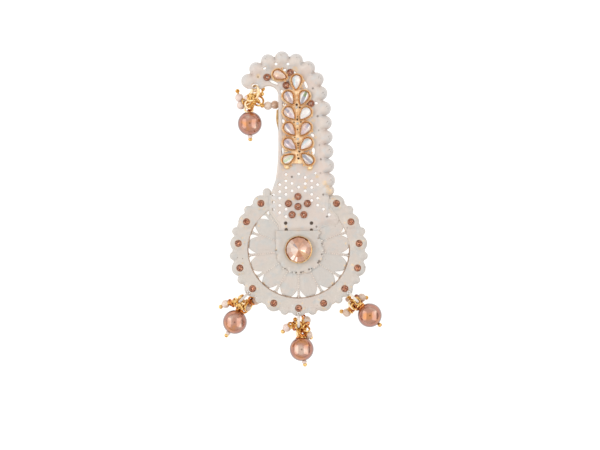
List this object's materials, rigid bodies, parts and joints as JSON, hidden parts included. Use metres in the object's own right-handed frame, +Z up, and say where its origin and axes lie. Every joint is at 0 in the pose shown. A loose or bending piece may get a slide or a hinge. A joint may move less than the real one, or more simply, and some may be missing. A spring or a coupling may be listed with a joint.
{
  "type": "turban brooch",
  "caption": "Turban brooch: a white-enamelled round medallion under a curled plume, set with faceted stones, with bead drops on rings and a pin back.",
  "frame": {"origin": "under the middle of the brooch's bounding box, on the surface that it lies on", "axes": "+Z up through the brooch's face, +Y from the bottom drop to the top of the plume, +X to the right seen from the front"},
  "size_m": [0.0654, 0.1268, 0.0125],
  "materials": {
    "enamel": "creamy white enamel over cast metal, soft gloss, worn to gold at edges",
    "gold": "polished warm gold plate",
    "peach_stone": "faceted, foil-backed, peach",
    "clear_stone": "faceted, foil-backed, clear with an iridescent coat",
    "rose_stone": "faceted, foil-backed, rose brown",
    "rose_bead": "milky dusty rose glass, high gloss",
    "pearl": "imitation pearl, satin lustre"
  },
  "bodies": {
    "root": {"plume_plate": "enamel", "medallion_rim": "enamel", "petal_wheel": "enamel", "centre_flower": "enamel", "rivoli_cup": "gold", "rivoli": "peach_stone", "pear_settings": "gold", "pear_stone_1": "peach_stone", "pear_stone_2": "clear_stone", "pear_stone_3": "clear_stone", "pear_stone_4": "clear_stone", "pear_stone_5": "clear_stone", "pear_stone_6": "clear_stone", "pear_stone_7": "clear_stone", "pear_stone_8": "clear_stone", "pear_stone_9": "clear_stone", "pear_stone_10": "clear_stone", "pear_stone_11": "clear_stone", "pear_stone_12": "clear_stone", "rim_stone_1": "rose_stone", "rim_stone_2": "rose_stone", "rim_stone_3": "rose_stone", "rim_stone_4": "rose_stone", "rim_stone_5": "rose_stone", "rim_stone_6": "rose_stone", "rim_stone_7": "rose_stone", "rim_stone_8": "rose_stone", "rim_stone_9": "rose_stone", "rim_stone_10": "rose_stone", "rim_stone_11": "rose_stone", "rim_stone_12": "rose_stone", "rim_stone_13": "rose_stone", "fan_stone_1": "rose_stone", "fan_stone_2": "rose_stone", "fan_stone_3": "rose_stone", "fan_stone_4": "rose_stone", "fan_stone_5": "rose_stone", "fan_stone_6": "rose_stone", "plume_stone_1": "rose_stone", "plume_stone_2": "rose_stone", "plume_stone_3": "rose_stone", "plume_stone_4": "rose_stone", "pin_back": "gold", "jump_ring_bottom": "enamel", "bead_bottom": "rose_bead", "headpin_bottom": "gold", "seeds_bottom": "pearl", "jump_ring_left": "enamel", "bead_left": "rose_bead", "headpin_left": "gold", "seeds_left": "pearl", "jump_ring_right": "enamel", "bead_right": "rose_bead", "headpin_right": "gold", "seeds_right": "pearl", "jump_ring_curl": "enamel", "bead_curl": "rose_bead", "headpin_curl": "gold", "seeds_curl": "pearl"}
  },
  "joints": []
}
